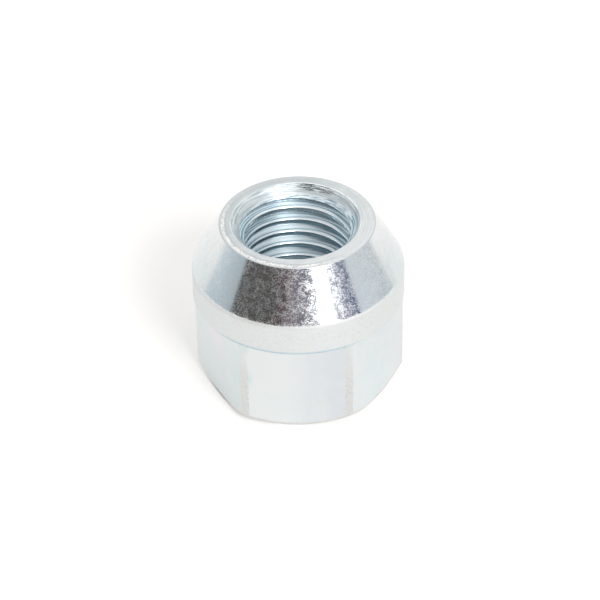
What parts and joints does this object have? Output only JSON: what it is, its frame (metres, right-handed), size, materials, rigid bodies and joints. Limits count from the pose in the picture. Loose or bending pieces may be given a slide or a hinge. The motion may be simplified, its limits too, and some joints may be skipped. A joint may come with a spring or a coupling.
{
  "type": "lug nut",
  "caption": "Open-end lug nut: hex body, round collar and conical seat around a threaded through bore; it clamps a road wheel to a stud.",
  "frame": {"origin": "centre of the hex end face, on the thread axis, where the nut stands", "axes": "+Z along the thread axis from the hex end towards the conical seat; -Y is the outward normal of one wrench flat"},
  "size_m": [0.0214, 0.0214, 0.0186],
  "materials": {
    "zinc_plate": "bright zinc plating with a clear blue passivate, soft gloss, lightly mottled"
  },
  "bodies": {
    "root": {"lug_nut": "zinc_plate"}
  },
  "joints": []
}
